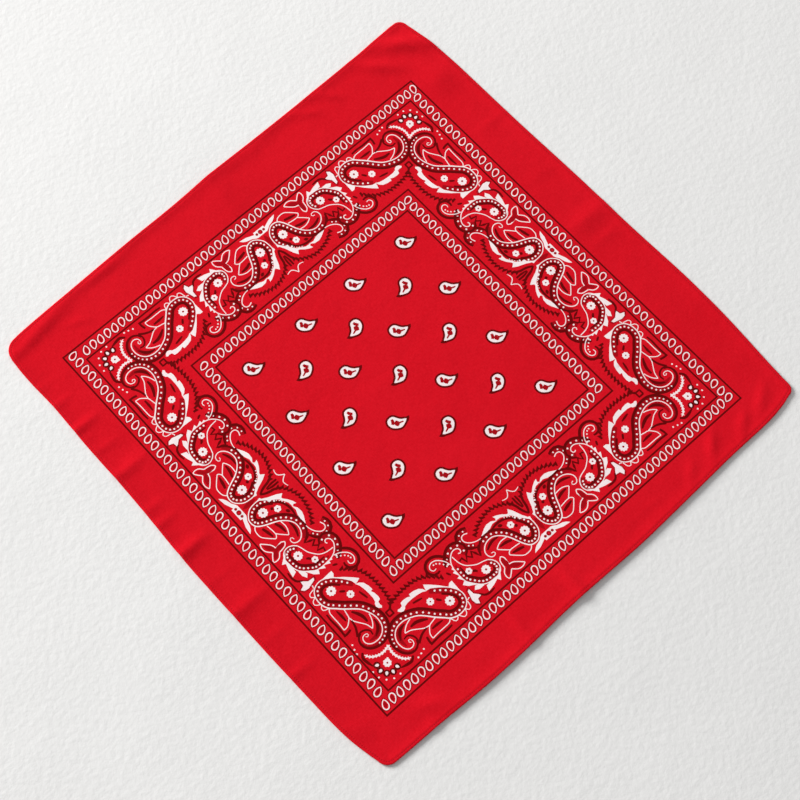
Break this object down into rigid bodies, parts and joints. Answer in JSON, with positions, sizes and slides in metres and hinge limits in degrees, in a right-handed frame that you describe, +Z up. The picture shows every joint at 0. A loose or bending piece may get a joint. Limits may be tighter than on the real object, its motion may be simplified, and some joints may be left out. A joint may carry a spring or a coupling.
{
  "type": "bandana",
  "caption": "Square cotton bandana lying flat, with a narrow turned-under hem on every side; worn, tied or used as a kerchief.",
  "frame": {"origin": "middle of the underside's bounding box, at the height of the surface that the cloth lies on", "axes": "+Z up, through the cloth's thickness, with the printed face up; the cloth's sides run along X and Y"},
  "size_m": [0.5668, 0.5595, 0.0063],
  "materials": {
    "printed_cotton": "matte",
    "hem_cotton": "matte"
  },
  "bodies": {
    "root": {"panel": "printed_cotton", "hem_bottom": "hem_cotton", "hem_right": "hem_cotton", "hem_top": "hem_cotton", "hem_left": "hem_cotton"}
  },
  "joints": []
}
